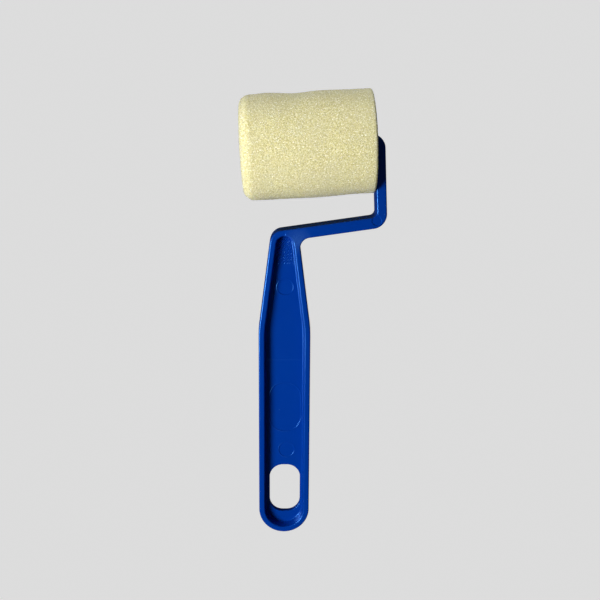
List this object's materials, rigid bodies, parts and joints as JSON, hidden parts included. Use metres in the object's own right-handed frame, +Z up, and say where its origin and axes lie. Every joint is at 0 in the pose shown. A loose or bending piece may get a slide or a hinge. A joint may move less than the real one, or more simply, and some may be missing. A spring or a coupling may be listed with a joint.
{
  "type": "paint roller",
  "caption": "Small foam paint roller: a foam sleeve on a core tube spins on the axle of a one-piece moulded frame with a hollowed handle and a hanging hole.",
  "frame": {"origin": "on the table under the middle of the whole object's box, as the roller lies on its sleeve and on the end of its handle", "axes": "+X runs along the axle towards the leg, +Y away from the handle's end, +Z up off the table"},
  "size_m": [0.0698, 0.222, 0.05],
  "materials": {
    "frame_plastic": "semi-gloss royal blue polypropylene, as moulded",
    "core_plastic": "matt off-white polypropylene tube",
    "bush_plastic": "matt white acetal",
    "foam": "fine open-cell cream polyurethane foam, matt"
  },
  "bodies": {
    "frame": {"handle_frame": "frame_plastic"},
    "roller": {"core_tube": "core_plastic", "leg_side_bush": "bush_plastic", "free_end_bush": "bush_plastic", "foam_sleeve": "foam"}
  },
  "joints": [
    {"name": "roller_spin", "type": "hinge", "parent": "frame", "child": "roller", "pos_m": [-0.00154, 0.08599, 0.025], "axis": [1, 0, 0], "continuous": true}
  ]
}
